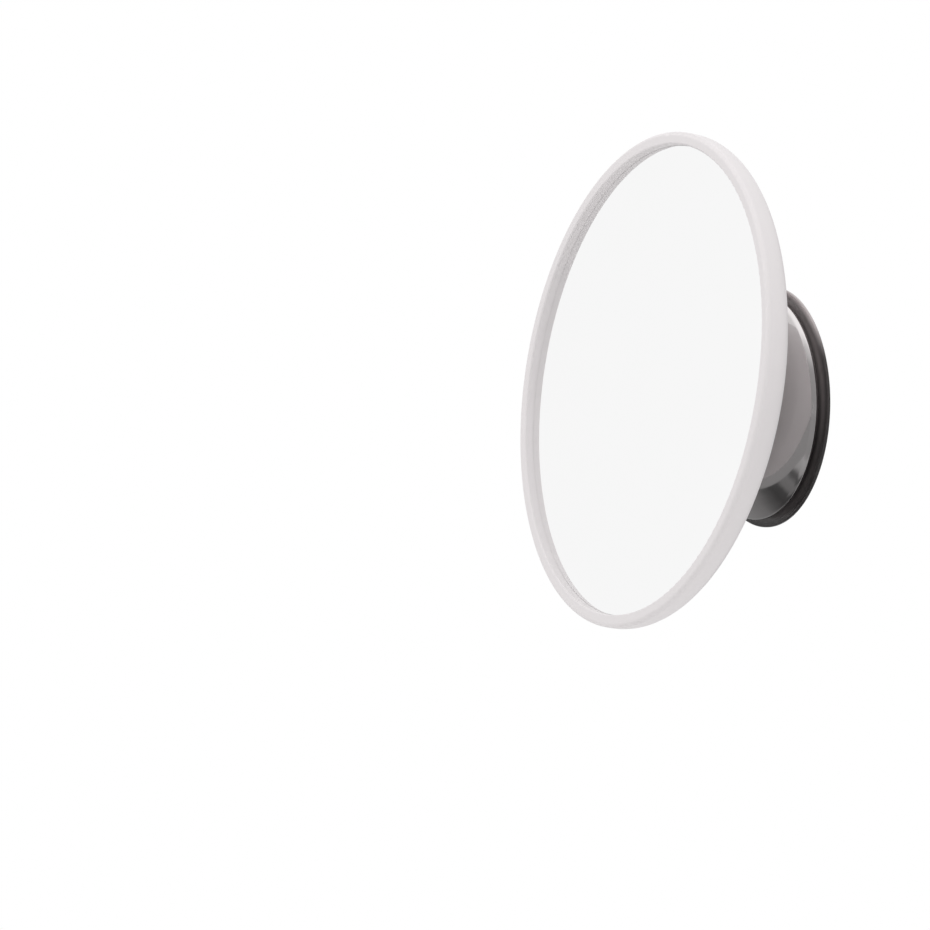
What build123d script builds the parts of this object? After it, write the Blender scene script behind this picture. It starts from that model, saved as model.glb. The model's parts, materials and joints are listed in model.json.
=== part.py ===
from build123d import *
import os
from math import cos, radians, sin, sqrt

os.makedirs("parts", exist_ok=True)

# A round magnifying mirror whose head sits by magnet on the steel dome of a suction foot.
# The wall is the plane Y = 0, the mirror looks along -Y and slightly up, and +Z is up.
# The origin is the centre of the foot's sealing face. Foot sizes are measured from the wall,
# head sizes from the centre of the dome's sphere along the head's own axis.

# Dome of the foot, pressed steel sheet
dome_radius = 31.0
dome_apex = 16.8
dome_sheet = 0.6
dome_rim_height = 1.4
dome_flange = 4.9
dome_rim_round = 1.5

# Suction cup, soft plastic pressed flat, with its radii measured from the dome's rim
cup_lip_reach = 0.4
cup_lip_edge = 0.6
cup_seal_width = 3.6
cup_hollow = 0.9
cup_waist_inset = 3.8
cup_waist_height = 0.96
cup_flare_inset = 2.2
cup_flare_height = 0.88
cup_shoulder_drop = 0.1
cup_seat_gap = 0.3
stud_r = 4.0
stud_groove = 0.5
stud_tip = 1.3
stud_chamfer = 0.6

# Insert that carries the dome on the cup, moulded plastic
insert_floor = 2.1
insert_gap = 0.1
insert_hub_r = 9.8
insert_hub_wall = 1.6
insert_rib = 1.6
insert_rib_drop = 0.2
insert_ribs = 6
stud_gap = 0.2

# Washer pushed on the stud
washer_r = 7.0
washer_sheet = 0.8
washer_gap = 0.1

# Head, one moulded dish
head_r = 56.0
rest_tilt = 6.55
head_side = 4.9
rim_width = 2.9
rim_round = 1.0
rim_inner_round = 0.4
head_edge_round = 4.6
shell_wall = 2.2
ledge_width = 3.8
shell_ribs = 6
shell_rib = 1.6
shell_rib_gap = 1.4

# Mirror, bent glass
mirror_radius = 560.0
glass_thickness = 2.0
glass_recess = 2.1
glass_gap = 0.2
glass_bevel = 0.4

# Foam tape under the glass
tape_thickness = 0.8
tape_edge_gap = 0.3

# Socket cover, the raised pad with the bowl and the tongue
bowl_gap = 0.3
bowl_depth = 6.2
bowl_wall = 1.1
bowl_lip_round = 1.6
pad_r = 31.25
pad_raise = 0.9
pad_sink = 1.2
pad_gap = 0.15
seat_gap = 0.05
pad_edge_round = 0.4
tongue_reach = 48.0
tongue_width = 14.0
tongue_end_round = 5.0
tongue_root_round = 2.3

# Chamber behind the bowl, with the magnet, its keeper and the steel plate that closes it
magnet_r = 5.0
magnet_thickness = 5.0
magnet_gap = 0.3
keeper_r = 5.5
keeper_thickness = 1.0
disc_chamfer = 0.25
chamber_r = 19.5
chamber_wall = 2.2
plate_r = 21.0
plate_sheet = 1.0
plate_gap = 0.2
plate_keeper_gap = 0.4
plate_glass_gap = 0.8

# Screws that hold the cover, and their bosses
screw_circle_r = 27.0
screw_count = 3
screw_r = 1.0
screw_length = 5.0
screw_head_r = 2.0
screw_head = 1.3
screw_head_round = 0.5
screw_hole_gap = 0.3
screw_thread_gap = 0.05
cover_boss_r = 2.4
cover_boss_rise = 2.6
boss_gap = 0.15
shell_boss_wall = 1.15
shell_boss_web = 1.5

# One overrun serves all cuts
overrun = 1.0

# The dome's sphere and the head's direction at rest
ball_depth = dome_radius - dome_apex
ball_centre = (0, ball_depth, 0)
tilt = radians(rest_tilt)
head_direction = (0, -cos(tilt), sin(tilt))

foot_section = Plane(origin=(0, 0, 0), x_dir=(1, 0, 0), z_dir=(0, 0, -1))
foot_axis = Axis((0, 0, 0), (0, -1, 0))
foot_front = Plane(origin=(0, 0, 0), x_dir=(1, 0, 0), z_dir=(0, -1, 0))
head_section = Plane(origin=ball_centre, x_dir=(1, 0, 0), z_dir=(0, -sin(tilt), -cos(tilt)))
head_axis = Axis(ball_centre, head_direction)
head_front = Plane(origin=ball_centre, x_dir=(1, 0, 0), z_dir=head_direction)

# Bowl, magnet, keeper and plate follow one another from the dome outwards. The plate just
# clears the keeper's corner, wherever the head is tilted, and the glass just clears the plate.
bowl_radius = dome_radius + bowl_gap
bowl_back = bowl_radius + bowl_wall
magnet_reach = bowl_back + magnet_gap
keeper_reach = magnet_reach + magnet_thickness
keeper_corner = sqrt((keeper_reach + keeper_thickness) ** 2 + keeper_r**2)
plate_reach = keeper_corner + plate_keeper_gap

# Glass and rim, whose sphere has its centre far in front of the head
recess_r = head_r - rim_width
glass_r = recess_r - glass_gap
glass_back = mirror_radius + glass_thickness
tape_back = glass_back + tape_thickness
mirror_centre = plate_reach + plate_sheet + plate_glass_gap + glass_back
rim_reach = mirror_centre - sqrt(mirror_radius**2 - glass_r**2) + glass_recess

# The back's sphere runs from the pad to the foot of the head's side
back_reach = bowl_radius - bowl_depth + pad_raise
back_crown = rim_reach - head_side - back_reach
back_radius = (head_r**2 + back_crown**2) / (2 * back_crown)
back_centre = back_reach + back_radius


def turned(section, angle):
    """A section plane turned about the axis that it holds."""
    return Plane(section.location * Location((0, 0, 0), (0, angle, 0)))


def dish(centre, sphere, r):
    """Point of a section at radius r on a sphere that opens to the front."""
    return (r, centre - sqrt(sphere**2 - r**2))


def ball(sphere, r, centre=0):
    """Point of a section at radius r on a sphere that bulges to the front."""
    return (r, centre + sqrt(sphere**2 - r**2))


def dish_arc(centre, sphere, start, end):
    middle = (start + end) / 2
    return ThreePointArc(
        dish(centre, sphere, start), dish(centre, sphere, middle), dish(centre, sphere, end)
    )


def ball_arc(sphere, start, end, centre=0):
    middle = (start + end) / 2
    return ThreePointArc(
        ball(sphere, start, centre), ball(sphere, middle, centre), ball(sphere, end, centre)
    )


def meeting(ball_sphere, back_sphere):
    """Where a sphere about the ball centre meets a sphere about the back's centre."""
    reach = (back_centre**2 + ball_sphere**2 - back_sphere**2) / (2 * back_centre)
    return (sqrt(ball_sphere**2 - reach**2), reach)


# Heights in the foot
insert_low = dome_rim_height + dome_sheet
insert_high = insert_low + insert_floor
dome_inner = dome_radius - dome_sheet
dome_inner_round = dome_rim_round - dome_sheet
insert_sphere = dome_inner - insert_gap
washer_high = insert_high + washer_sheet


def foot_radius(sphere, height):
    """Radius of a sphere about the ball centre at a height over the wall."""
    return sqrt(sphere**2 - (height + ball_depth) ** 2)


# The corner that the dome's rolled rim rounds off, its mouth, and the cup's radii
dome_rim_r = foot_radius(dome_radius, dome_rim_height)
dome_mouth_r = dome_rim_r - dome_flange
cup_lip_r = dome_rim_r + cup_lip_reach
cup_flare_r = dome_rim_r - cup_flare_inset
cup_waist_r = dome_rim_r - cup_waist_inset
cup_seat_r = dome_mouth_r - cup_seat_gap
cup_seal_r = cup_lip_r - cup_seal_width

# Suction cup with its hollow, its waist and the stud that goes up into the dome
cup_hollow_arc_share = 0.72

with BuildPart() as suction_cup:
    with BuildSketch(foot_section) as cup_profile:
        with BuildLine():
            Polyline((cup_seal_r, 0), (cup_lip_r, 0), (cup_lip_r, cup_lip_edge))
            Line((cup_lip_r, cup_lip_edge), (cup_flare_r, cup_flare_height))
            ThreePointArc(
                (cup_flare_r, cup_flare_height),
                (cup_waist_r, cup_waist_height),
                (cup_seat_r, dome_rim_height - cup_shoulder_drop),
            )
            Polyline(
                (cup_seat_r, dome_rim_height - cup_shoulder_drop),
                (cup_seat_r, insert_low),
                (stud_r, insert_low),
                (stud_r, insert_high),
                (stud_r - stud_groove, insert_high),
                (stud_r - stud_groove, washer_high),
                (stud_r, washer_high),
                (stud_r - stud_chamfer, washer_high + stud_tip),
                (0, washer_high + stud_tip),
                (0, cup_hollow),
            )
            ThreePointArc(
                (0, cup_hollow),
                (cup_seal_r / 2, cup_hollow * cup_hollow_arc_share),
                (cup_seal_r, 0),
            )
        make_face()
        lip_corner = cup_profile.vertices().sort_by_distance((cup_lip_r, cup_lip_edge))[0]
        fillet(lip_corner, radius=cup_lip_edge / 2)
    revolve(axis=foot_axis)
suction_cup.part.label = "suction_cup"

# Insert with a hub round the stud and ribs up to the dome's inside
insert_hub_inner = insert_hub_r - insert_hub_wall
rib_sphere = insert_sphere - insert_rib_drop

with BuildPart() as dome_insert:
    with BuildSketch(foot_section) as insert_profile:
        with BuildLine():
            insert_low_r = foot_radius(insert_sphere, insert_low)
            insert_high_r = foot_radius(insert_sphere, insert_high)
            ball_arc(insert_sphere, insert_low_r, insert_high_r, -ball_depth)
            Polyline(
                (insert_high_r, insert_high),
                (insert_hub_r, insert_high),
                ball(insert_sphere, insert_hub_r, -ball_depth),
            )
            ball_arc(insert_sphere, insert_hub_r, insert_hub_inner, -ball_depth)
            Polyline(
                ball(insert_sphere, insert_hub_inner, -ball_depth),
                (insert_hub_inner, insert_high),
                (stud_r + stud_gap, insert_high),
                (stud_r + stud_gap, insert_low),
                (insert_low_r, insert_low),
            )
        make_face()
        insert_corner = insert_profile.vertices().sort_by_distance((insert_low_r, insert_low))[0]
        fillet(insert_corner, radius=dome_inner_round)
    revolve(axis=foot_axis)
    for rib in range(insert_ribs):
        with BuildSketch(turned(foot_section, 360 / insert_ribs * rib)):
            with BuildLine():
                rib_start = insert_hub_r - insert_hub_wall / 2
                rib_foot = insert_high - insert_floor / 2
                rib_end = foot_radius(rib_sphere, insert_high)
                Polyline(
                    ball(rib_sphere, rib_start, -ball_depth),
                    (rib_start, rib_foot),
                    (rib_end, rib_foot),
                    (rib_end, insert_high),
                )
                ball_arc(rib_sphere, rib_end, rib_start, -ball_depth)
            make_face()
        extrude(amount=insert_rib / 2, both=True)
dome_insert.part.label = "dome_insert"

# Push-on washer in the stud's groove
with BuildPart() as stud_washer:
    with BuildSketch(foot_front.offset(insert_high)):
        Circle(washer_r)
        Circle(stud_r - stud_groove + washer_gap, mode=Mode.SUBTRACT)
    extrude(amount=washer_sheet)
stud_washer.part.label = "stud_washer"

# Dome pressed from sheet, its edge rolled in under the insert
with BuildPart() as dome_shell:
    with BuildSketch(foot_section) as dome_profile:
        with BuildLine():
            dome_inner_end = foot_radius(dome_inner, insert_low)
            ball_arc(dome_radius, 0, dome_rim_r, -ball_depth)
            Polyline(
                (dome_rim_r, dome_rim_height),
                (dome_mouth_r, dome_rim_height),
                (dome_mouth_r, insert_low),
                (dome_inner_end, insert_low),
            )
            ball_arc(dome_inner, dome_inner_end, 0, -ball_depth)
            Line(ball(dome_inner, 0, -ball_depth), ball(dome_radius, 0, -ball_depth))
        make_face()
        dome_corner = dome_profile.vertices().sort_by_distance((dome_rim_r, dome_rim_height))[0]
        fillet(dome_corner, radius=dome_rim_round)
        inner_corner = dome_profile.vertices().sort_by_distance((dome_inner_end, insert_low))[0]
        fillet(inner_corner, radius=dome_inner_round)
    revolve(axis=foot_axis)
dome_shell.part.label = "dome_shell"

# Magnet and keeper, which stay over the dome's apex behind the bowl
with BuildPart() as magnet:
    with BuildSketch(foot_front.offset(magnet_reach - ball_depth)):
        Circle(magnet_r)
    extrude(amount=magnet_thickness)
    chamfer(magnet.edges().filter_by(GeomType.CIRCLE), length=disc_chamfer)
magnet.part.label = "magnet"

with BuildPart() as magnet_keeper:
    with BuildSketch(foot_front.offset(keeper_reach - ball_depth)):
        Circle(keeper_r)
    extrude(amount=keeper_thickness)
    chamfer(magnet_keeper.edges().filter_by(GeomType.CIRCLE), length=disc_chamfer)
magnet_keeper.part.label = "magnet_keeper"

# Steel plate that closes the chamber in front
with BuildPart() as backing_plate:
    with BuildSketch(head_front.offset(plate_reach)):
        Circle(plate_r)
    extrude(amount=plate_sheet)
    chamfer(backing_plate.edges().filter_by(GeomType.CIRCLE), length=disc_chamfer)
backing_plate.part.label = "backing_plate"

# Dish of the head: rim, glass ledge, back, recess for the cover and the chamber's tube
ledge_inner = recess_r - ledge_width
recess_floor = back_radius - pad_sink - seat_gap
shell_inner = back_radius - shell_wall
cover_recess_r = pad_r + pad_gap
plate_seat_r = plate_r + plate_gap
tube_outer = plate_seat_r + chamber_wall
recess_inner = recess_floor - shell_wall
boss_seat = dish(back_centre, recess_floor, screw_circle_r)[1] + cover_boss_rise
boss_top = boss_seat + shell_boss_web
shell_boss_r = cover_boss_r + boss_gap + shell_boss_wall

with BuildPart() as rear_shell:
    with BuildSketch(head_section) as shell_profile:
        with BuildLine():
            dish_arc(mirror_centre, tape_back, ledge_inner, recess_r)
            Polyline(
                dish(mirror_centre, tape_back, recess_r),
                (recess_r, rim_reach),
                (head_r, rim_reach),
                dish(back_centre, back_radius, head_r),
            )
            dish_arc(back_centre, back_radius, head_r, cover_recess_r)
            Line(
                dish(back_centre, back_radius, cover_recess_r),
                dish(back_centre, recess_floor, cover_recess_r),
            )
            dish_arc(back_centre, recess_floor, cover_recess_r, chamber_r)
            Polyline(
                dish(back_centre, recess_floor, chamber_r),
                (chamber_r, plate_reach),
                (plate_seat_r, plate_reach),
                dish(mirror_centre, tape_back, plate_seat_r),
            )
            dish_arc(mirror_centre, tape_back, plate_seat_r, tube_outer)
            Line(
                dish(mirror_centre, tape_back, tube_outer),
                dish(back_centre, recess_inner, tube_outer),
            )
            thick_end = cover_recess_r + shell_wall
            dish_arc(back_centre, recess_inner, tube_outer, thick_end)
            Line(
                dish(back_centre, recess_inner, thick_end),
                dish(back_centre, shell_inner, thick_end),
            )
            dish_arc(back_centre, shell_inner, thick_end, ledge_inner)
            Line(
                dish(back_centre, shell_inner, ledge_inner),
                dish(mirror_centre, tape_back, ledge_inner),
            )
        make_face()
        rim_corner = shell_profile.vertices().sort_by_distance((head_r, rim_reach))[0]
        fillet(rim_corner, radius=rim_round)
        lip_inner = shell_profile.vertices().sort_by_distance((recess_r, rim_reach))[0]
        fillet(lip_inner, radius=rim_inner_round)
        edge_corner = shell_profile.vertices().sort_by_distance(
            dish(back_centre, back_radius, head_r)
        )[0]
        fillet(edge_corner, radius=head_edge_round)
    revolve(axis=head_axis)
    rib_start = tube_outer - chamber_wall / 2
    rib_end = ledge_inner + shell_rib / 2
    rib_top = glass_back + shell_rib_gap
    rib_foot = (shell_inner + recess_floor) / 2
    for rib in range(shell_ribs):
        rib_angle = 360 / shell_ribs * (rib + 1 / 2)
        with BuildSketch(turned(head_section, rib_angle)):
            with BuildLine():
                dish_arc(back_centre, rib_foot, rib_start, rib_end)
                Line(
                    dish(back_centre, rib_foot, rib_end),
                    dish(mirror_centre, rib_top, rib_end),
                )
                dish_arc(mirror_centre, rib_top, rib_end, rib_start)
                Line(
                    dish(mirror_centre, rib_top, rib_start),
                    dish(back_centre, rib_foot, rib_start),
                )
            make_face()
        extrude(amount=shell_rib / 2, both=True)
    boss_foot = dish(back_centre, recess_floor, screw_circle_r)[1] + seat_gap
    with BuildSketch(head_front.offset(boss_foot + shell_wall / 2)):
        with PolarLocations(screw_circle_r, screw_count):
            Circle(shell_boss_r)
    extrude(amount=boss_top - boss_foot - shell_wall / 2)
    with BuildSketch(head_front.offset(boss_seat)):
        with PolarLocations(screw_circle_r, screw_count):
            Circle(cover_boss_r + boss_gap)
    extrude(amount=-cover_boss_rise - overrun, mode=Mode.SUBTRACT)
    with BuildSketch(head_front.offset(boss_seat - overrun)):
        with PolarLocations(screw_circle_r, screw_count):
            Circle(screw_r + screw_hole_gap)
    extrude(amount=shell_boss_web + 2 * overrun, mode=Mode.SUBTRACT)
rear_shell.part.label = "rear_shell"

# Cover: a raised outline of pad and tongue that follows the back, sunk pad and bowl
pad_face = back_radius + pad_raise
pad_floor = back_radius - pad_sink
tongue_start = pad_r - tongue_end_round
bowl_mouth = meeting(bowl_radius, pad_face)
bowl_root = meeting(bowl_back, pad_floor)

with BuildPart() as pad_outline:
    with BuildSketch(head_section):
        with BuildLine():
            outline_reach = tongue_reach + overrun
            dish_arc(back_centre, pad_face, 0, outline_reach)
            Line(
                dish(back_centre, pad_face, outline_reach),
                dish(back_centre, back_radius + seat_gap, outline_reach),
            )
            dish_arc(back_centre, back_radius + seat_gap, outline_reach, 0)
            Line(
                dish(back_centre, back_radius + seat_gap, 0),
                dish(back_centre, pad_face, 0),
            )
        make_face()
    revolve(axis=head_axis)
    with BuildSketch(head_front) as outline:
        Circle(pad_r)
        with Locations((-(tongue_reach + tongue_start) / 2, 0)):
            Rectangle(tongue_reach - tongue_start, tongue_width)
        root_x = -sqrt(pad_r**2 - (tongue_width / 2) ** 2)
        roots = outline.vertices().filter_by_position(
            Axis.X, root_x - overrun / 2, root_x + overrun / 2
        )
        fillet(roots, radius=tongue_root_round)
        tips = outline.vertices().filter_by_position(
            Axis.X, -tongue_reach - overrun / 2, -tongue_reach + overrun / 2
        )
        fillet(tips, radius=tongue_end_round)
    extrude(amount=rim_reach, mode=Mode.INTERSECT)
    outer_face = pad_outline.faces().sort_by(head_axis)[0]
    fillet(outer_face.edges(), radius=pad_edge_round)

with BuildPart() as socket_cover:
    add(pad_outline.part)
    with BuildSketch(head_section):
        with BuildLine():
            sunk_top = back_radius + pad_raise / 2
            ball_arc(bowl_back, 0, bowl_root[0])
            dish_arc(back_centre, pad_floor, bowl_root[0], pad_r)
            Line(
                dish(back_centre, pad_floor, pad_r),
                dish(back_centre, sunk_top, pad_r),
            )
            dish_arc(back_centre, sunk_top, pad_r, 0)
            Line(dish(back_centre, sunk_top, 0), ball(bowl_back, 0))
        make_face()
    revolve(axis=head_axis)
    with BuildSketch(head_section):
        with BuildLine():
            ball_arc(bowl_radius, 0, bowl_mouth[0])
            Polyline(
                bowl_mouth,
                (bowl_mouth[0], back_reach - pad_raise - overrun),
                (0, back_reach - pad_raise - overrun),
                (0, bowl_radius),
            )
        make_face()
    revolve(axis=head_axis, mode=Mode.SUBTRACT)
    boss_root = dish(back_centre, pad_floor, screw_circle_r)[1] - pad_sink / 2
    with BuildSketch(head_front.offset(boss_root)):
        with PolarLocations(screw_circle_r, screw_count):
            Circle(cover_boss_r)
    extrude(amount=boss_seat - seat_gap - boss_root)
    with BuildSketch(head_front.offset(boss_top - screw_length)):
        with PolarLocations(screw_circle_r, screw_count):
            Circle(screw_r + screw_thread_gap)
    extrude(amount=screw_length, mode=Mode.SUBTRACT)
    mouth_edge = socket_cover.edges().filter_by(GeomType.CIRCLE).sort_by(
        lambda edge: abs(edge.radius - bowl_mouth[0])
    )[0]
    fillet(mouth_edge, radius=bowl_lip_round)
socket_cover.part.label = "socket_cover"

# Pan-head screws from inside the dish into the cover's bosses
with BuildPart() as cover_screws:
    with BuildSketch(head_front.offset(boss_top)):
        with PolarLocations(screw_circle_r, screw_count):
            Circle(screw_head_r)
    extrude(amount=screw_head)
    head_tops = cover_screws.faces().filter_by(head_axis).sort_by(head_axis)[-screw_count:]
    fillet(head_tops.edges(), radius=screw_head_round)
    with BuildSketch(head_front.offset(boss_top)):
        with PolarLocations(screw_circle_r, screw_count):
            Circle(screw_r)
    extrude(amount=-screw_length)
cover_screws.part.label = "cover_screws"

# Concave mirror glass
with BuildPart() as mirror_glass:
    with BuildSketch(head_section) as glass_profile:
        with BuildLine():
            dish_arc(mirror_centre, mirror_radius, 0, glass_r)
            Line(
                dish(mirror_centre, mirror_radius, glass_r),
                dish(mirror_centre, glass_back, glass_r),
            )
            dish_arc(mirror_centre, glass_back, glass_r, 0)
            Line(
                dish(mirror_centre, glass_back, 0),
                dish(mirror_centre, mirror_radius, 0),
            )
        make_face()
        glass_edge = glass_profile.vertices().sort_by_distance(
            dish(mirror_centre, mirror_radius, glass_r)
        )[0]
        chamfer(glass_edge, length=glass_bevel)
    revolve(axis=head_axis)
mirror_glass.part.label = "mirror_glass"


def tape_outline(inner, outer):
    """Half section of a tape ring between the glass and its seat."""
    dish_arc(mirror_centre, glass_back, inner, outer)
    Line(dish(mirror_centre, glass_back, outer), dish(mirror_centre, tape_back, outer))
    dish_arc(mirror_centre, tape_back, outer, inner)
    Line(dish(mirror_centre, tape_back, inner), dish(mirror_centre, glass_back, inner))


# Foam tape on the ledge and on the chamber's tube
with BuildPart() as outer_tape_ring:
    with BuildSketch(head_section):
        with BuildLine():
            tape_outline(ledge_inner + tape_edge_gap, glass_r - tape_edge_gap)
        make_face()
    revolve(axis=head_axis)
outer_tape_ring.part.label = "outer_tape_ring"

with BuildPart() as inner_tape_ring:
    with BuildSketch(head_section):
        with BuildLine():
            tape_outline(plate_seat_r + tape_edge_gap, tube_outer - tape_edge_gap)
        make_face()
    revolve(axis=head_axis)
inner_tape_ring.part.label = "inner_tape_ring"

pieces = (
    suction_cup,
    dome_insert,
    stud_washer,
    dome_shell,
    magnet,
    magnet_keeper,
    backing_plate,
    rear_shell,
    socket_cover,
    cover_screws,
    mirror_glass,
    outer_tape_ring,
    inner_tape_ring,
)
for piece in pieces:
    export_step(piece.part, "parts/" + piece.part.label + ".step")
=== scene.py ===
import json
import math

import bmesh
import bpy
from bpy.props import FloatProperty, FloatVectorProperty, IntProperty, PointerProperty
from mathutils import Matrix, Vector


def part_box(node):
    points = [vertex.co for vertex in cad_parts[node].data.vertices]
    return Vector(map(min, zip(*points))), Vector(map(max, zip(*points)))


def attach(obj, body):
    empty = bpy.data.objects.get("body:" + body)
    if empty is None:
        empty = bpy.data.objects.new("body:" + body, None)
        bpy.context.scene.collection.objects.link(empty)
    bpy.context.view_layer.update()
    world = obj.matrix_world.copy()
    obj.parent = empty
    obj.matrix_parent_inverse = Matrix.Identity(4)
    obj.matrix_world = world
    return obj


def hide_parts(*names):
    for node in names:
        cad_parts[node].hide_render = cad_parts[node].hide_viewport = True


bl_info = {
    "name": "Magnifying mirror",
    "version": (1, 0, 0),
    "blender": (4, 5, 0),
    "location": "3D View > Sidebar > Mirror",
    "description": "Dresses a magnifying mirror on a suction foot, its finishes and its studio",
    "category": "Object",
}

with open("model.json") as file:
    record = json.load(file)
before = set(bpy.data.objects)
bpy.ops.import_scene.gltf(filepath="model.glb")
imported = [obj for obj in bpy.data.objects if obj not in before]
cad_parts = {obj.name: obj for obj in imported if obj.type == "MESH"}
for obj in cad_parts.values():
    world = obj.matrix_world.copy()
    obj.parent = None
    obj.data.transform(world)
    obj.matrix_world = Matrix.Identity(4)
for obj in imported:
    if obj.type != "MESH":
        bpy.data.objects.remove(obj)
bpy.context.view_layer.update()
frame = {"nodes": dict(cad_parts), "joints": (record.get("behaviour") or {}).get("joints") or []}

# All lengths are in metres. The wall is the plane Y = 0 and the mirror looks along -Y.
X_AXIS = Vector((1, 0, 0))


def joint(name):
    return next(entry for entry in frame["joints"] if entry["name"] == name)


# The head is measured from the ball centre along its own axis, the foot from the wall
ball_centre = Vector(joint("head_turn")["pos_m"])
head_direction = Vector(joint("head_turn")["axis"]).normalized()
foot_direction = Vector(joint("head_pull_off")["axis"]).normalized()


def half_width(node):
    low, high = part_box(node)
    return (high.x - low.x) / 2


def lowest_reach(node, origin, direction):
    """Lowest place of a CAD node along a direction from an origin."""
    corners = frame["nodes"][node].data.vertices
    return min((corner.co - origin).dot(direction) for corner in corners)


def length(name, description, default):
    return FloatProperty(
        name=name, description=description, default=default, unit="LENGTH", subtype="DISTANCE"
    )


def colour(name, description, default):
    return FloatVectorProperty(
        name=name,
        description=description,
        default=default,
        size=3,
        min=0,
        max=1,
        subtype="COLOR_GAMMA",
    )


# The pane is wider than the CAD glass, so that no dark line shows between it and the rim's wall
PANE_SPARE = 0.00018


class PaneSizes(bpy.types.PropertyGroup):
    """Sizes of the bent mirror glass."""

    radius: length("Radius", "Outer radius of the glass", half_width("mirror_glass") + PANE_SPARE)
    curve: length("Curve", "Radius of the sphere that the mirror face follows", 0.56)
    thickness: length("Thickness", "Thickness of the glass", 0.002)
    bevel: length("Bevel", "Ground bevel round the front edge", 0.00006)


class Colours(bpy.types.PropertyGroup):
    """Colours as they look on the real part."""

    shell: colour("Shell", "Satin plastic of the dish and its cover", (0.892, 0.875, 0.878))
    silver: colour("Silver", "Mirror face", (0.968, 0.968, 0.968))
    dome: colour("Dome", "Polished steel of the dome", (0.810, 0.795, 0.795))
    cup: colour("Cup", "Smoky plastic of the suction cup", (0.290, 0.275, 0.275))
    insert: colour("Insert", "Moulded insert under the dome", (0.380, 0.375, 0.370))
    steel: colour("Steel", "Zinc-plated steel of the plate, washer and screws", (0.800, 0.800, 0.790))
    nickel: colour("Nickel", "Nickel plating of the magnet", (0.830, 0.815, 0.780))
    tape: colour("Tape", "Foam tape under the glass", (0.880, 0.880, 0.860))
    floor: colour("Floor", "Floor below the part", (0.980, 0.980, 0.980))


class StageSizes(bpy.types.PropertyGroup):
    """Camera and studio."""

    distance: length("Distance", "Camera distance from the point it frames", 1.5)
    target_reach: length("Target reach", "Framed point on the foot's axis, from the wall", 0.020)
    azimuth: FloatProperty(
        name="Azimuth",
        description="Direction of the camera round the part",
        default=math.radians(60.44),
        subtype="ANGLE",
    )
    elevation: FloatProperty(
        name="Elevation",
        description="Direction of the camera above the horizon",
        default=math.radians(-2.97),
        subtype="ANGLE",
    )
    focal_pixels: FloatProperty(
        name="Focal length",
        description="Focal length in pixels of the frame",
        default=6682.0,
        subtype="PIXEL",
    )
    frame_pixels: IntProperty(
        name="Frame", description="Width and height of the frame in pixels", default=930, subtype="PIXEL"
    )
    target_right: FloatProperty(
        name="Target right",
        description="Framed point, pixels from the left edge",
        default=691.6,
        subtype="PIXEL",
    )
    target_down: FloatProperty(
        name="Target down",
        description="Framed point, pixels from the top edge",
        default=404.8,
        subtype="PIXEL",
    )
    # The collar is a sheet that only reflections see, which paints shade and streaks into the dome's
    # reflections
    collar_radius: length("Collar radius", "Radius of the smoked sheet round the gap", 0.0535)
    collar_front: length("Collar front", "Reach of that sheet's front end", 0.0418)
    collar_seam: length("Collar seam", "Reach at which that sheet's shade changes", 0.0337)
    collar_back: length("Collar back", "Reach of that sheet's back end", -0.015)
    floor_drop: length("Floor drop", "Height of the foot's axis over the floor", 0.17)
    floor_reach: length("Floor reach", "Half width of the floor", 6.0)
    fade_start: length("Fade start", "Distance at which the floor starts to turn white", 0.25)
    fade_end: length("Fade end", "Distance at which the floor is all white", 1.6)


# Shader nodes

# Sockets of the Mix node when it mixes colours
MIX_FIRST = 6
MIX_SECOND = 7
MIX_RESULT = 2


def linear(shown):
    """Scene colour of a colour as it is shown on a screen."""
    return tuple(
        part / 12.92 if part <= 0.04045 else ((part + 0.055) / 1.055) ** 2.4 for part in shown
    )


def scaled(light, share):
    """A scene colour made darker or brighter."""
    return tuple(part * share for part in light)


def hypotenuse(first, second):
    return (first * first + second * second) ** 0.5


class Value:
    """A number in a node tree. Arithmetic on it in Python adds Math nodes."""

    def __init__(self, tree, socket):
        self.tree = tree
        self.socket = socket

    def __add__(self, other):
        return self.tree.maths("ADD", self, other)

    def __sub__(self, other):
        return self.tree.maths("SUBTRACT", self, other)

    def __rsub__(self, other):
        return self.tree.maths("SUBTRACT", other, self)

    def __mul__(self, other):
        return self.tree.maths("MULTIPLY", self, other)

    def __truediv__(self, other):
        return self.tree.maths("DIVIDE", self, other)

    def __rtruediv__(self, other):
        return self.tree.maths("DIVIDE", other, self)

    def __pow__(self, other):
        return self.tree.maths("POWER", self, other)

    def __rpow__(self, other):
        return self.tree.maths("POWER", other, self)

    __radd__ = __add__
    __rmul__ = __mul__


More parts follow.
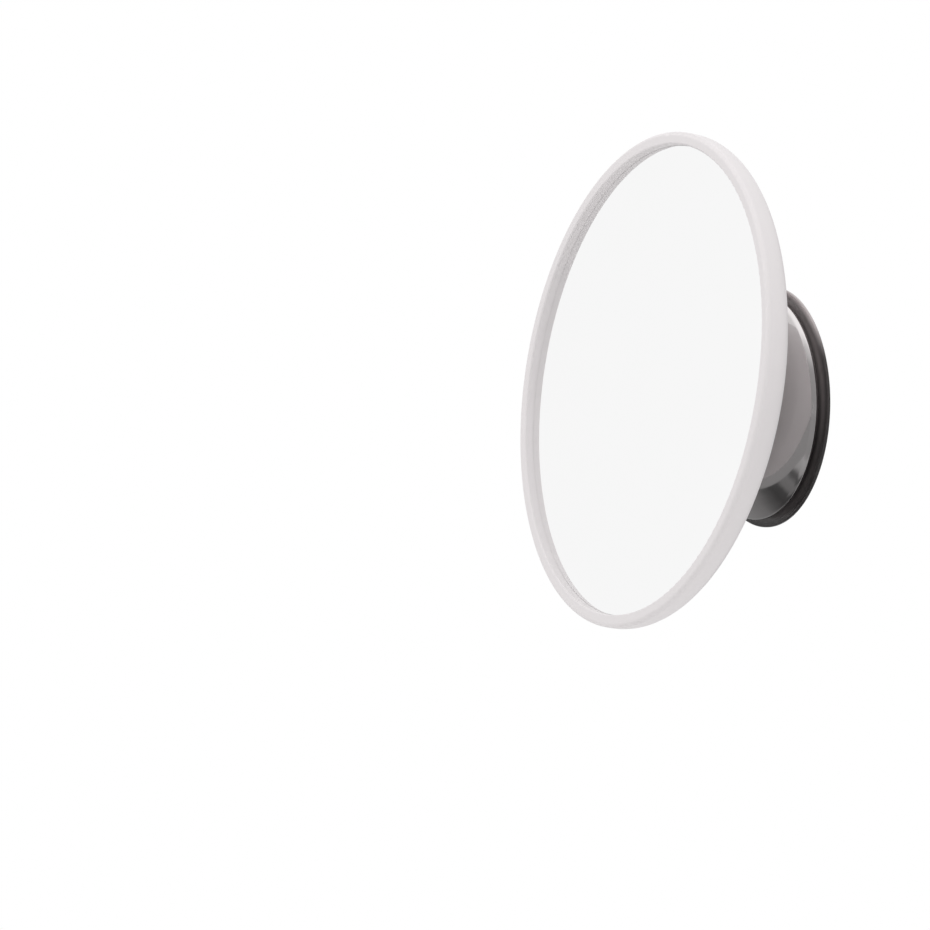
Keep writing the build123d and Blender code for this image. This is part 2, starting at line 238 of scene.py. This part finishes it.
class Nodes:
    """The node tree of a material or of the world."""

    def __init__(self, owner):
        owner.use_nodes = True
        self.tree = owner.node_tree
        self.tree.nodes.clear()

    def add(self, kind, settings=None, inputs=None):
        """A node: first its settings, such as a ramp's stops, then its sockets' values or links."""
        node = self.tree.nodes.new(kind)
        for name, setting in (settings or {}).items():
            if name == "stops":
                while len(node.color_ramp.elements) < len(setting):
                    node.color_ramp.elements.new(1)
                for element, (position, shade) in zip(node.color_ramp.elements, setting):
                    element.position = position
                    element.color = (*shade, 1)
            else:
                setattr(node, name, setting)
        for name, given in (inputs or {}).items():
            socket = node.inputs[name]
            if isinstance(given, Value):
                self.tree.links.new(given.socket, socket)
            elif isinstance(given, bpy.types.NodeSocket):
                self.tree.links.new(given, socket)
            elif socket.type == "RGBA":
                socket.default_value = (*given, 1)
            else:
                socket.default_value = given
        return node

    def maths(self, operation, *numbers):
        node = self.add("ShaderNodeMath", {"operation": operation}, dict(enumerate(numbers)))
        return Value(self, node.outputs["Value"])

    def clamped(self, number):
        node = self.add("ShaderNodeClamp", inputs={"Value": number})
        return Value(self, node.outputs["Result"])

    def smooth_step(self, number, start, end):
        """0 before start and 1 after end, with soft ends."""
        node = self.add(
            "ShaderNodeMapRange",
            {"interpolation_type": "SMOOTHSTEP"},
            {"Value": number, "From Min": start, "From Max": end},
        )
        return Value(self, node.outputs["Result"])

    def place(self):
        """Place on the piece, in metres, which moves with the piece."""
        return self.add("ShaderNodeTexCoord").outputs["Object"]

    def part_of(self, vector, axis):
        node = self.add("ShaderNodeSeparateXYZ", inputs={"Vector": vector})
        return Value(self, node.outputs[axis])

    def stretched(self, vector, scale):
        node = self.add("ShaderNodeVectorMath", {"operation": "MULTIPLY"}, {0: vector, 1: scale})
        return node.outputs["Vector"]

    def noise(self, vector, size, detail=2.0):
        """Noise around 0.5 whose blots are about one size across."""
        node = self.add(
            "ShaderNodeTexNoise", inputs={"Vector": vector, "Scale": 1 / size, "Detail": detail}
        )
        return Value(self, node.outputs["Fac"])

    def blend(self, share, first, second):
        """A colour between two colours."""
        node = self.add(
            "ShaderNodeMix",
            {"data_type": "RGBA"},
            {"Factor": share, MIX_FIRST: first, MIX_SECOND: second},
        )
        return node.outputs[MIX_RESULT]

    def bump(self, height, depth, strength):
        """Normal of a surface whose height runs from 0 to 1 over a depth in metres."""
        node = self.add(
            "ShaderNodeBump", inputs={"Height": height, "Distance": depth, "Strength": strength}
        )
        return node.outputs["Normal"]

    def shown_as_background(self):
        """1 for rays that show the background, straight, in a mirror or through glass, else 0."""
        rays = self.add("ShaderNodeLightPath").outputs
        straight = Value(self, rays["Is Camera Ray"])
        mirrored = Value(self, rays["Is Glossy Ray"])
        through_glass = Value(self, rays["Is Transmission Ray"])
        return self.clamped(straight + mirrored + through_glass)

    def output(self, shader):
        self.add("ShaderNodeOutputMaterial", inputs={"Surface": shader})

    def principled(self, inputs):
        """Ends the tree in one Principled shader."""
        self.output(self.add("ShaderNodeBsdfPrincipled", inputs=inputs).outputs["BSDF"])


def new_material(name):
    material = bpy.data.materials.new(name)
    return material, Nodes(material)


# Finishes


def satin_plastic(shade):
    """Moulded plastic with a fine spark-eroded grain and faint flow clouds."""
    material, nodes = new_material("satin_plastic")
    place = nodes.place()
    clouds = nodes.noise(place, size=0.030, detail=3.0)
    grain = nodes.noise(place, size=0.0009)
    light = linear(shade)
    nodes.principled(
        {
            "Base Color": nodes.blend(clouds, scaled(light, 0.97), light),
            "Roughness": 0.40 + 0.08 * clouds,
            "IOR": 1.49,
            "Normal": nodes.bump(grain, depth=0.000004, strength=0.2),
        }
    )
    return material


def silvering(shade):
    """Silvered face of the mirror, with the faintest film of dust."""
    material, nodes = new_material("silvering")
    film = nodes.noise(nodes.place(), size=0.018, detail=4.0)
    light = linear(shade)
    nodes.principled(
        {
            "Base Color": nodes.blend(film, scaled(light, 0.992), light),
            "Metallic": 1.0,
            "Roughness": 0.008 + 0.012 * film,
        }
    )
    return material


def ground_edge(shade):
    """Ground edge and painted back of the glass."""
    material, nodes = new_material("ground_edge")
    grit = nodes.noise(nodes.place(), size=0.0004)
    light = scaled(linear(shade), 0.62)
    nodes.principled(
        {
            "Base Color": nodes.blend(grit, scaled(light, 0.85), light),
            "Roughness": 0.35 + 0.25 * grit,
            "Normal": nodes.bump(grit, depth=0.00001, strength=0.6),
        }
    )
    return material


# Hairlines of the polished dome: how many lie side by side and end to end in a metre
HAIRLINES_ACROSS = 9000.0
HAIRLINES_ALONG = 60.0


def polished_steel(shade, edge):
    """Polished sheet of the dome, with hairlines that run round it.

    Heights and radii are shares of edge, the radius of the dome's rolled edge. Its colour is
    painted darker towards the bottom as painted shade, and the rolled edge has a painted
    highlight where it faces up.
    """
    material, nodes = new_material("polished_steel")
    place = nodes.place()
    across = nodes.part_of(place, "X")
    up = nodes.part_of(place, "Z")
    radius = hypotenuse(across, up)
    ring = nodes.add(
        "ShaderNodeCombineXYZ",
        inputs={
            "X": radius * HAIRLINES_ACROSS,
            "Y": across * HAIRLINES_ALONG,
            "Z": up * HAIRLINES_ALONG,
        },
    )
    hairlines = nodes.noise(ring.outputs["Vector"], size=1.0)
    haze = nodes.noise(place, size=0.012, detail=3.0)
    height = up / edge
    # Painted shade: the sheet's colour is darker towards the bottom
    painted_light_from_top = nodes.smooth_step(height, start=-0.783, end=0.783)
    rolled = nodes.smooth_step(radius / edge, start=0.979, end=0.9985)
    # Painted highlight: the rolled edge is made brighter where it faces up
    painted_glint = rolled * nodes.smooth_step(height, start=0.235, end=0.431)
    light = linear(shade)
    sheet = nodes.blend(0.9 * painted_light_from_top + 0.1 * haze, scaled(light, 0.66), light)
    nodes.principled(
        {
            "Base Color": nodes.blend(painted_glint, sheet, scaled(light, 1.35)),
            "Metallic": 1.0,
            "Roughness": 0.055 + 0.03 * haze + 0.02 * hairlines,
            "Normal": nodes.bump(hairlines, depth=0.0000004, strength=0.5),
        }
    )
    return material


def smoky_plastic(shade, edge):
    """Soft clear plastic of the suction cup, smoked nearly black.

    Heights and radii are shares of edge, the radius of the cup's lip. Its colour carries painted
    light: lighter towards the top, painted light in the cup's front and a painted highlight in
    the top part of its lip.
    """
    material, nodes = new_material("smoky_plastic")
    place = nodes.place()
    up = nodes.part_of(place, "Z")
    height = up / edge
    radius = hypotenuse(nodes.part_of(place, "X"), up) / edge
    facing = nodes.add("ShaderNodeTexCoord").outputs["Normal"]
    outward = 0 - nodes.part_of(facing, "Y")
    # Painted light: the cup's colour is lighter towards the top and darker towards the bottom
    painted_light_from_above = nodes.smooth_step(height, start=-0.515, end=0.588)
    inside_lip = 1 - nodes.smooth_step(radius, start=0.92, end=0.986)
    front = nodes.smooth_step(outward, start=0.0, end=0.3) * inside_lip
    on_lip = nodes.smooth_step(radius, start=0.949, end=0.993)
    lip = nodes.smooth_step(outward, start=-0.5, end=0.0) * on_lip
    # Painted highlight in the top part of the lip
    painted_lip_highlight = lip * nodes.smooth_step(height, start=0.331, end=0.736)
    hollow = 1 - nodes.smooth_step(radius, start=0.853, end=0.872)
    swirl = nodes.noise(place, size=0.010, detail=3.0)
    skin = nodes.noise(place, size=0.006)
    light = linear(shade)
    # Random swirls, plus the painted shade towards the bottom
    smoke = nodes.blend(0.8 * painted_light_from_above + 0.2 * swirl, scaled(light, 0.45), light)
    # Painted light: the cup's front and the top of its lip are made up to eight times brighter
    painted_glow = nodes.clamped(0.1 * front + 0.3 * front * painted_light_from_above + painted_lip_highlight)
    nodes.principled(
        {
            "Base Color": nodes.blend(painted_glow, smoke, scaled(light, 8)),
            "Roughness": 0.14 + 0.08 * skin + 0.25 * hollow,
            "IOR": 1.50,
            "Transmission Weight": 0.15,
            "Normal": nodes.bump(skin, depth=0.00002, strength=0.1),
        }
    )
    return material


def moulded_plastic(shade):
    """Matt moulded plastic of the hidden insert."""
    material, nodes = new_material("moulded_plastic")
    place = nodes.place()
    clouds = nodes.noise(place, size=0.008, detail=3.0)
    grain = nodes.noise(place, size=0.0004, detail=1.0)
    light = linear(shade)
    nodes.principled(
        {
            "Base Color": nodes.blend(clouds, scaled(light, 0.85), light),
            "Roughness": 0.5 + 0.1 * clouds,
            "Normal": nodes.bump(grain, depth=0.00001, strength=0.5),
        }
    )
    return material


def plated_metal(name, shade, roughness, spangle_size):
    """Plated metal with soft spangles."""
    material, nodes = new_material(name)
    spangle = nodes.noise(nodes.place(), spangle_size)
    light = linear(shade)
    nodes.principled(
        {
            "Base Color": nodes.blend(spangle, scaled(light, 0.85), light),
            "Metallic": 1.0,
            "Roughness": roughness + 0.12 * spangle,
            "Normal": nodes.bump(spangle, depth=0.00001, strength=0.3),
        }
    )
    return material


def foam(shade):
    """Closed-cell foam of the tape, with 4000 cells to the metre."""
    material, nodes = new_material("foam")
    cells = nodes.add("ShaderNodeTexVoronoi", inputs={"Vector": nodes.place(), "Scale": 4000.0})
    depth = Value(nodes, cells.outputs["Distance"])
    light = linear(shade)
    nodes.principled(
        {
            "Base Color": nodes.blend(nodes.clamped(depth), light, scaled(light, 0.7)),
            "Roughness": 0.85,
            "Normal": nodes.bump(1 - depth, depth=0.00008, strength=0.6),
        }
    )
    return material


# Meshes

ON_AXIS = 1e-7
ARC_SAG = 0.000002
LATHE_STEPS = 384
SHEET_STEPS = 4
COLLAR_STEPS = 128
SHARP_FROM = math.radians(32)


def axes_at(origin, direction):
    """Matrix that moves a piece to an origin and turns its Z axis to a direction, with X kept."""
    side = direction.cross(X_AXIS)
    turn = Matrix((X_AXIS, side, direction)).transposed()
    return Matrix.Translation(origin) @ turn.to_4x4()


def arc(centre, start, end):
    """Points on the shorter arc from start to end, whose chords leave the arc by a small sag."""
    middle = Vector(centre)
    first = Vector(start) - middle
    last = Vector(end) - middle
    radius = first.length
    swept = math.atan2(first.x * last.y - first.y * last.x, first.dot(last))
    step = 2 * math.acos(1 - ARC_SAG / radius)
    count = max(2, math.ceil(abs(swept) / step))
    from_angle = math.atan2(first.y, first.x)
    angles = [from_angle + swept * share / count for share in range(count + 1)]
    return [(middle.x + radius * math.cos(a), middle.y + radius * math.sin(a)) for a in angles]


def on_sphere(centre, sphere, radius):
    """Half-section point at a radius on the back of a sphere with its centre on the axis."""
    return (radius, centre - math.sqrt(sphere**2 - radius**2))


def finished(name, mesh, place):
    """The object of a bmesh, put in place, with smooth faces and sharp corners."""
    mesh.transform(place)
    for face in mesh.faces:
        face.smooth = True
    data = bpy.data.meshes.new(name)
    mesh.to_mesh(data)
    mesh.free()
    data.set_sharp_from_angle(angle=SHARP_FROM)
    piece = bpy.data.objects.new(name, data)
    bpy.context.scene.collection.objects.link(piece)
    return piece


def lathe(name, outline, place):
    """A closed half outline of (radius, reach) points, turned into a solid."""
    mesh = bmesh.new()
    angles = [2 * math.pi * step / LATHE_STEPS for step in range(LATHE_STEPS)]
    rings = []
    for radius, reach in outline:
        if radius < ON_AXIS:
            rings.append([mesh.verts.new((0, 0, reach))])
            continue
        rings.append(
            [mesh.verts.new((radius * math.cos(a), radius * math.sin(a), reach)) for a in angles]
        )
    for ring, following in zip(rings, rings[1:] + rings[:1]):
        if len(ring) == len(following) == 1:
            continue
        for step in range(LATHE_STEPS):
            corners = [
                ring[step % len(ring)],
                ring[(step + 1) % len(ring)],
                following[(step + 1) % len(following)],
                following[step % len(following)],
            ]
            mesh.faces.new(list(dict.fromkeys(corners)))
    bmesh.ops.recalc_face_normals(mesh, faces=mesh.faces)
    return finished(name, mesh, place)


def level_sheet(name, width):
    """Square sheet in the XY plane, of a few faces each way."""
    mesh = bmesh.new()
    bmesh.ops.create_grid(
        mesh, x_segments=SHEET_STEPS, y_segments=SHEET_STEPS, size=width / 2
    )
    return finished(name, mesh, Matrix.Identity(4))


def tube(name, radius, height, place):
    """Thin tube about the Z axis of its place, open at both ends."""
    mesh = bmesh.new()
    bmesh.ops.create_cone(
        mesh, cap_ends=False, segments=COLLAR_STEPS, radius1=radius, radius2=radius, depth=height
    )
    piece = finished(name, mesh, Matrix.Identity(4))
    piece.matrix_world = place
    return piece


def dress(piece, *materials):
    piece.data.materials.clear()
    for material in materials:
        piece.data.materials.append(material)


# Pieces


class MIRROR_OT_pane(bpy.types.Operator):
    """Bent mirror glass with a silvered face and a ground edge."""

    bl_idname = "mirror.pane"
    bl_label = "Mirror glass"

    def execute(self, context):
        sizes = context.scene.mirror_pane
        shades = context.scene.mirror_colours
        place = axes_at(ball_centre, head_direction)
        piece = lathe("mirror_pane", self.outline(sizes), place)
        dress(piece, silvering(shades.silver), ground_edge(shades.silver))
        silvered, ground = 0, 1
        upright = place.inverted()
        for polygon in piece.data.polygons:
            centre = upright @ polygon.center
            outward = upright.to_3x3() @ polygon.normal
            on_face = math.hypot(centre.x, centre.y) < sizes.radius - sizes.bevel
            polygon.material_index = silvered if on_face and outward.z > 0 else ground
        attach(piece, "mirror_head")
        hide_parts("mirror_glass")
        return {"FINISHED"}

    def outline(self, sizes):
        """Half section, with the sphere's centre far in front of the glass."""
        back = sizes.curve + sizes.thickness
        reach = lowest_reach("mirror_glass", ball_centre, head_direction) + back
        centre = (0, reach)
        face_end = on_sphere(reach, sizes.curve, sizes.radius - sizes.bevel)
        bevel_end = on_sphere(reach, sizes.curve, sizes.radius)[1] - sizes.bevel
        return [
            *arc(centre, on_sphere(reach, sizes.curve, 0), face_end),
            (sizes.radius, bevel_end),
            *arc(centre, on_sphere(reach, back, sizes.radius), on_sphere(reach, back, 0)),
        ]


class MIRROR_OT_head(bpy.types.Operator):
    """Satin plastic of the dish and of the cover with its bowl and tongue."""

    bl_idname = "mirror.head"
    bl_label = "Head"

    def execute(self, context):
        plastic = satin_plastic(context.scene.mirror_colours.shell)
        for node in ("rear_shell", "socket_cover"):
            dress(frame["nodes"][node], plastic)
        return {"FINISHED"}


class MIRROR_OT_foot(bpy.types.Operator):
    """Polished dome, smoky suction cup and the insert between them."""

    bl_idname = "mirror.foot"
    bl_label = "Suction foot"

    def execute(self, context):
        shades = context.scene.mirror_colours
        nodes = frame["nodes"]
        dress(nodes["dome_shell"], polished_steel(shades.dome, half_width("dome_shell")))
        dress(nodes["suction_cup"], smoky_plastic(shades.cup, half_width("suction_cup")))
        dress(nodes["dome_insert"], moulded_plastic(shades.insert))
        return {"FINISHED"}


class MIRROR_OT_inside(bpy.types.Operator):
    """Plate, magnet, fixings and tape, which stay hidden in the head and the dome."""

    bl_idname = "mirror.inside"
    bl_label = "Inner parts"

    def execute(self, context):
        shades = context.scene.mirror_colours
        zinc = plated_metal("zinc_plate", shades.steel, roughness=0.28, spangle_size=0.003)
        nickel = plated_metal("nickel_plate", shades.nickel, roughness=0.12, spangle_size=0.001)
        for node in ("backing_plate", "magnet_keeper", "stud_washer", "cover_screws"):
            dress(frame["nodes"][node], zinc)
        dress(frame["nodes"]["magnet"], nickel)
        tape = foam(shades.tape)
        for node in ("outer_tape_ring", "inner_tape_ring"):
            dress(frame["nodes"][node], tape)
        return {"FINISHED"}


# Studio

WORLD_LEVEL = 0.64

# Lamps round the part, in degrees and metres, with the level they add on what faces them
SOFT_BOXES = (
    dict(name="soft_box_left", azimuth=-30, elevation=30, distance=1.3, width=0.9, level=0.22),
    dict(name="soft_box_top", azimuth=70, elevation=68, distance=0.7, width=0.5, level=0.36),
    dict(name="soft_box_right", azimuth=85, elevation=0, distance=1.6, width=0.9, level=0.09),
)

# The collar is a tube round the gap behind the head, and only reflections see it: it paints shade
# and streaks into the dome's reflections. These are the shares of light that it lets through,
# each at an angle about the head's axis, in degrees from +X to the top: first on the wall's side
# of its seam, then on the head's side.
WALL_SIDE_SHARES = (
    (-120, 0.40),
    (-106, 0.34),
    (-96, 0.18),
    (-87, 0.10),
    (-80, 0.12),
    (-76, 0.30),
    (-69, 0.33),
    (-64, 0.16),
    (-61, 0.20),
    (-57, 0.58),
    (-47, 0.72),
    (-40, 0.50),
    (-12, 0.52),
    (0, 0.44),
    (27, 0.46),
    (42, 0.60),
    (56, 0.95),
    (62, 1.00),
    (110, 1.00),
    (180, 0.40),
)
HEAD_SIDE_SHARES = (
    (-180, 0.47),
    (0, 0.47),
    (30, 0.50),
    (56, 0.95),
    (110, 1.00),
    (180, 0.47),
)
SEAM_WIDTH = 0.0005

# Painted streaks in the dome's reflections: noise shifts those shares round the axis, by a part of a
# turn
STREAK_SHIFT = 0.015
STREAK_SIZE = 0.02
STREAK_STRETCH = (1, 1, 3)


def painted_reflection_sheet(seam):
    """Sheet that only reflections see, which paints shade and streaks into the dome's reflections by
    letting more or less light through round the head, with a seam at a height.
    """
    material, nodes = new_material("painted_reflection_sheet")
    place = nodes.place()
    angle = nodes.maths("ARCTAN2", nodes.part_of(place, "Y"), nodes.part_of(place, "X"))
    streaks = nodes.noise(nodes.stretched(place, STREAK_STRETCH), STREAK_SIZE)
    turn = angle / (2 * math.pi) + 0.5 + STREAK_SHIFT * (streaks - 0.5)
    wall_side, head_side = (
        nodes.add(
            "ShaderNodeValToRGB",
            {"stops": [(0.5 + degrees / 360, (share,) * 3) for degrees, share in shares]},
            {"Fac": turn},
        ).outputs["Color"]
        for shares in (WALL_SIDE_SHARES, HEAD_SIDE_SHARES)
    )
    past_seam = nodes.smooth_step(nodes.part_of(place, "Z"), seam, seam + SEAM_WIDTH)
    clear = Value(nodes, nodes.blend(past_seam, wall_side, head_side))
    # Painted reflection: the sheet darkens what the dome reflects, more in some directions than others
    nodes.principled({"Base Color": (0, 0, 0), "Specular IOR Level": 0, "Alpha": 1 - clear})
    return material


def pale_floor(shade, fade_start, fade_end):
    """Pale paint that turns into the white background far off, and is clear from below."""
    material, nodes = new_material("pale_floor")
    place = nodes.place()
    radius = hypotenuse(nodes.part_of(place, "X"), nodes.part_of(place, "Y"))
    clouds = nodes.noise(place, size=0.5)
    light = linear(shade)
    paint = nodes.add(
        "ShaderNodeBsdfPrincipled",
        inputs={
            "Base Color": nodes.blend(clouds, scaled(light, 0.985), light),
            "Roughness": 1.0,
            "Specular IOR Level": 0,
        },
    )
    far = nodes.smooth_step(radius, fade_start, fade_end) * nodes.shown_as_background()
    below = Value(nodes, nodes.add("ShaderNodeNewGeometry").outputs["Backfacing"])
    shown = nodes.add(
        "ShaderNodeMixShader",
        inputs={
            0: nodes.clamped(far + below),
            1: paint.outputs["BSDF"],
            2: nodes.add("ShaderNodeBsdfTransparent").outputs["BSDF"],
        },
    )
    nodes.output(shown.outputs["Shader"])
    return material


def aimed(eye, target, right, up):
    """Level camera rotation that puts the target at a slope right and up of the frame's middle."""
    line = (target - eye).normalized()
    climb = math.asin(line.z * math.sqrt(1 + right**2 + up**2) / math.hypot(1, up))
    pitch = climb - math.atan(up)
    heading = math.atan2(line.x, line.y)
    heading -= math.atan2(right, math.cos(pitch) - up * math.sin(pitch))
    forward = Vector(
        (
            math.sin(heading) * math.cos(pitch),
            math.cos(heading) * math.cos(pitch),
            math.sin(pitch),
        )
    )
    return forward.to_track_quat("-Z", "Y")


def round_about(azimuth, elevation, distance):
    """Place round the part: azimuth 0 is in front of the wall, and 90 degrees is on the +X side."""
    return distance * Vector(
        (
            math.sin(azimuth) * math.cos(elevation),
            -math.cos(azimuth) * math.cos(elevation),
            math.sin(elevation),
        )
    )


class MIRROR_OT_stage(bpy.types.Operator):
    """Camera, soft boxes, pale floor, white surroundings and the collar that paints shade into the
    dome's reflections.
    """

    bl_idname = "mirror.stage"
    bl_label = "Studio"

    def execute(self, context):
        sizes = context.scene.mirror_stage
        self.camera(context.scene, sizes)
        self.surroundings(context.scene)
        self.floor(sizes, context.scene.mirror_colours.floor)
        for box in SOFT_BOXES:
            self.soft_box(**box)
        self.collar(sizes)
        context.scene.view_settings.view_transform = "Standard"
        return {"FINISHED"}

    def camera(self, scene, sizes):
        data = bpy.data.cameras.new("camera")
        data.lens = sizes.focal_pixels / sizes.frame_pixels * data.sensor_width
        camera = bpy.data.objects.new("camera", data)
        scene.collection.objects.link(camera)
        scene.camera = camera
        middle = sizes.frame_pixels / 2
        target = foot_direction * sizes.target_reach
        camera.location = target + round_about(sizes.azimuth, sizes.elevation, sizes.distance)
        camera.rotation_mode = "QUATERNION"
        camera.rotation_quaternion = aimed(
            camera.location,
            target,
            (sizes.target_right - middle) / sizes.focal_pixels,
            (middle - sizes.target_down) / sizes.focal_pixels,
        )

    def surroundings(self, scene):
        """Even light that is pure white wherever it shows as the background."""
        world = bpy.data.worlds.new("surroundings")
        scene.world = world
        nodes = Nodes(world)
        level = WORLD_LEVEL + (1 - WORLD_LEVEL) * nodes.shown_as_background()
        white = nodes.add("ShaderNodeBackground", inputs={"Color": (1, 1, 1), "Strength": level})
        nodes.add("ShaderNodeOutputWorld", inputs={"Surface": white.outputs["Background"]})

    def floor(self, sizes, shade):
        floor = level_sheet("floor", 2 * sizes.floor_reach)
        floor.location.z = -sizes.floor_drop
        dress(floor, pale_floor(shade, sizes.fade_start, sizes.fade_end))

    def soft_box(self, name, azimuth, elevation, distance, width, level):
        """Round lamp that looks at the part.

        Its level is what it adds to the shade of a white matt face that is turned to it.
        """
        data = bpy.data.lights.new(name, "AREA")
        data.shape = "DISK"
        data.size = width
        data.energy = level * math.pi**2 * distance**2
        lamp = bpy.data.objects.new(name, data)
        lamp.location = round_about(math.radians(azimuth), math.radians(elevation), distance)
        lamp.rotation_mode = "QUATERNION"
        lamp.rotation_quaternion = lamp.location.to_track_quat("Z", "Y")
        lamp.visible_glossy = False
        bpy.context.scene.collection.objects.link(lamp)

    def collar(self, sizes):
        """Sheet round the gap that only reflections see, which moves with the head and paints shade into
        the dome's gloss.
        """
        reach = (sizes.collar_front + sizes.collar_back) / 2
        sheet = tube(
            "painted_reflection_collar",
            sizes.collar_radius,
            sizes.collar_front - sizes.collar_back,
            axes_at(ball_centre + head_direction * reach, head_direction),
        )
        for seen_by in ("camera", "diffuse", "shadow", "transmission"):
            setattr(sheet, "visible_" + seen_by, False)
        dress(sheet, painted_reflection_sheet(sizes.collar_seam - reach))
        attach(sheet, "mirror_head")


class MIRROR_PT_panel(bpy.types.Panel):
    """Lists the steps and their sizes in the sidebar."""

    bl_label = "Magnifying mirror"
    bl_space_type = "VIEW_3D"
    bl_region_type = "UI"
    bl_category = "Mirror"

    def draw(self, context):
        for group, name, steps in GROUPS:
            box = self.layout.box()
            for field in group.__annotations__:
                box.prop(getattr(context.scene, name), field)
            for step in steps:
                box.operator(step.bl_idname)


# Each group of sizes or colours, its name on the scene and the steps that the panel lists with it
GROUPS = (
    (PaneSizes, "mirror_pane", (MIRROR_OT_pane,)),
    (Colours, "mirror_colours", (MIRROR_OT_head, MIRROR_OT_foot, MIRROR_OT_inside)),
    (StageSizes, "mirror_stage", (MIRROR_OT_stage,)),
)
CLASSES = (
    *(group for group, _, _ in GROUPS),
    *(step for _, _, steps in GROUPS for step in steps),
    MIRROR_PT_panel,
)


def register():
    for kind in CLASSES:
        bpy.utils.register_class(kind)
    for group, name, _ in GROUPS:
        setattr(bpy.types.Scene, name, PointerProperty(type=group))


def unregister():
    for _, name, _ in GROUPS:
        delattr(bpy.types.Scene, name)
    for kind in reversed(CLASSES):
        bpy.utils.unregister_class(kind)


def main():
    register()
    bpy.ops.mirror.pane()
    bpy.ops.mirror.head()
    bpy.ops.mirror.foot()
    bpy.ops.mirror.inside()
    bpy.ops.mirror.stage()


if __name__ == "__main__":
    main()
